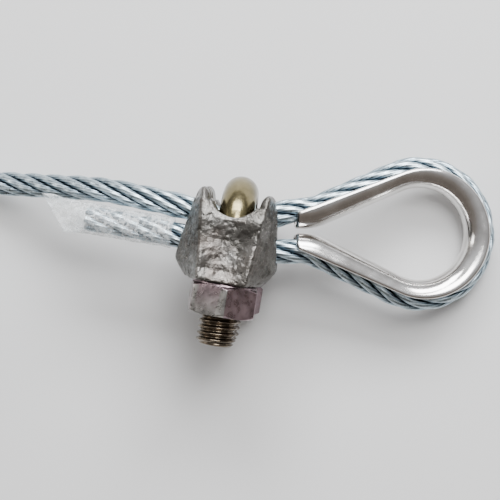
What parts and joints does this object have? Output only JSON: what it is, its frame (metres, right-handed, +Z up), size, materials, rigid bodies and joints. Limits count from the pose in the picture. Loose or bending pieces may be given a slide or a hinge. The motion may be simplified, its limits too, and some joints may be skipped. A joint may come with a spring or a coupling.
{
  "type": "thimble eye",
  "caption": "Wire-rope eye turned round a steel thimble and clamped by a U-bolt clip, with its free rope coiled.",
  "frame": {"origin": "centre of the object's bounding box, without the free rope, on the surface that it lies on", "axes": "+Z up from the surface, +X along the eye from the clip to the thimble's crown, +Y towards the bow of the U-bolt"},
  "size_m": [0.1813, 0.0733, 0.0308],
  "materials": {
    "thimble_steel": "polished stainless sheet",
    "rope_wire": "galvanised wire, bright",
    "u_bolt_zinc": "yellow zinc plated, glossy",
    "saddle_cast": "galvanised casting, rough and partly shiny",
    "nut_zinc": "zinc plated, slightly iridescent",
    "clear_tape": "clear wrinkled tape",
    "tie_plastic": "natural nylon"
  },
  "bodies": {
    "rope_and_bolt": {"thimble": "thimble_steel", "eye_rope": "rope_wire", "u_bolt": "u_bolt_zinc", "dead_end_tape": "clear_tape", "live_rope": "rope_wire", "live_rope_coil": "rope_wire", "live_rope_end": "rope_wire", "free_end_tape": "clear_tape", "coil_tie_1": "tie_plastic", "coil_tie_2": "tie_plastic"},
    "saddle": {"saddle": "saddle_cast"},
    "near_nut": {"near_nut": "nut_zinc"},
    "far_nut": {"far_nut": "nut_zinc"}
  },
  "joints": [
    {"name": "saddle_slide", "type": "slide", "parent": "rope_and_bolt", "child": "saddle", "axis": [-0.1477, -0.9884, -0.0349], "range_m": [0, 0.005]},
    {"name": "near_nut_turn", "type": "hinge", "parent": "saddle", "child": "near_nut", "pos_m": [-0.00813, -0.00693, 0.02302], "axis": [-0.1477, -0.9884, -0.0349], "range_deg": [0, 1440.1]},
    {"name": "far_nut_turn", "type": "hinge", "parent": "saddle", "child": "far_nut", "pos_m": [-0.00939, -0.0062, 0.00759], "axis": [-0.1477, -0.9884, -0.0349], "range_deg": [0, 1440.1]}
  ],
  "couplings": [
    {"joint": "near_nut_turn", "follows": "saddle_slide", "rad_per_m": 5026.5},
    {"joint": "far_nut_turn", "follows": "saddle_slide", "rad_per_m": 5026.5}
  ]
}
